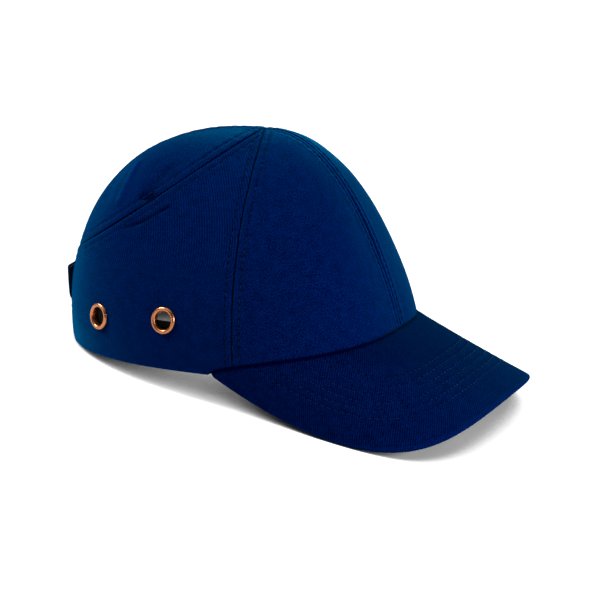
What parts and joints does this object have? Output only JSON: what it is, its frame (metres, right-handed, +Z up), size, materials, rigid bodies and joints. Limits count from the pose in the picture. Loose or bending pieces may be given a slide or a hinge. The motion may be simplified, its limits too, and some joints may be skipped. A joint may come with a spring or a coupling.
{
  "type": "bump cap",
  "caption": "Baseball-style safety bump cap: six-panel twill crown, curved visor, side eyelets, rear strap and a lift-out padded shell.",
  "frame": {"origin": "centre of the bounding box at the surface the cap stands on", "axes": "+Z up, the wearer faces -Y, +X is the wearer's left; the cap stands on its visor's side edges and its rear hem, so its own up axis leans back 8.64 degrees"},
  "size_m": [0.1826, 0.2838, 0.1456],
  "materials": {
    "crown_twill": "navy cotton-polyester twill, matt with a faint sheen",
    "visor_twill": "the same navy twill, stretched over the visor and sewn in rows",
    "binding": "navy folded tape",
    "seam_tape": "black sewn tape",
    "sweatband": "black brushed cotton",
    "label": "blank white woven label",
    "strap": "navy twill strap, sewn double",
    "hook_tape": "nylon hooks",
    "loop_tape": "nylon loops",
    "eyelet_copper": "antique copper plate, satin",
    "washer": "copper-plated steel",
    "visor_board": "moulded polyethylene",
    "shell": "black moulded ABS, fine texture",
    "foam": "charcoal closed-cell EVA foam"
  },
  "bodies": {
    "insert": {"bump_shell": "shell", "crown_pad": "foam", "front_pad": "foam", "rear_pad": "foam", "side_pad_left": "foam", "side_pad_right": "foam"},
    "cap": {"front_panel_left": "crown_twill", "front_panel_right": "crown_twill", "side_panel_left": "crown_twill", "side_panel_right": "crown_twill", "rear_panel_left": "crown_twill", "rear_panel_right": "crown_twill", "centre_front_tape": "seam_tape", "centre_rear_tape": "seam_tape", "front_seam_tape_left": "seam_tape", "front_seam_tape_right": "seam_tape", "rear_seam_tape_left": "seam_tape", "rear_seam_tape_right": "seam_tape", "arch_binding": "binding", "hem_facing": "crown_twill", "sweatband": "sweatband", "size_label": "label", "visor_top_cover": "visor_twill", "visor_board": "visor_board", "visor_under_cover": "visor_twill", "outer_strap_anchor": "strap", "inner_strap_anchor": "strap", "eyelet_front_left": "eyelet_copper", "eyelet_front_right": "eyelet_copper", "eyelet_rear_left": "eyelet_copper", "eyelet_rear_right": "eyelet_copper", "eyelet_washer_front_left": "washer", "eyelet_washer_front_right": "washer", "eyelet_washer_rear_left": "washer", "eyelet_washer_rear_right": "washer"},
    "outer_tab": {"outer_strap": "strap", "hook_patch": "hook_tape"},
    "inner_tab": {"inner_strap": "strap", "loop_patch": "loop_tape"}
  },
  "joints": [
    {"name": "cap_lift", "type": "slide", "parent": "insert", "child": "cap", "axis": [0, 0.1502, 0.9887], "range_m": [0, 0.14]},
    {"name": "outer_strap_peel", "type": "hinge", "parent": "cap", "child": "outer_tab", "pos_m": [0.03323, 0.1333, 0.03082], "axis": [0, -0.1502, -0.9887], "range_deg": [0, 120]},
    {"name": "inner_strap_flex", "type": "hinge", "parent": "cap", "child": "inner_tab", "pos_m": [-0.02979, 0.12884, 0.0315], "axis": [0, -0.1502, -0.9887], "range_deg": [0, 30]}
  ]
}
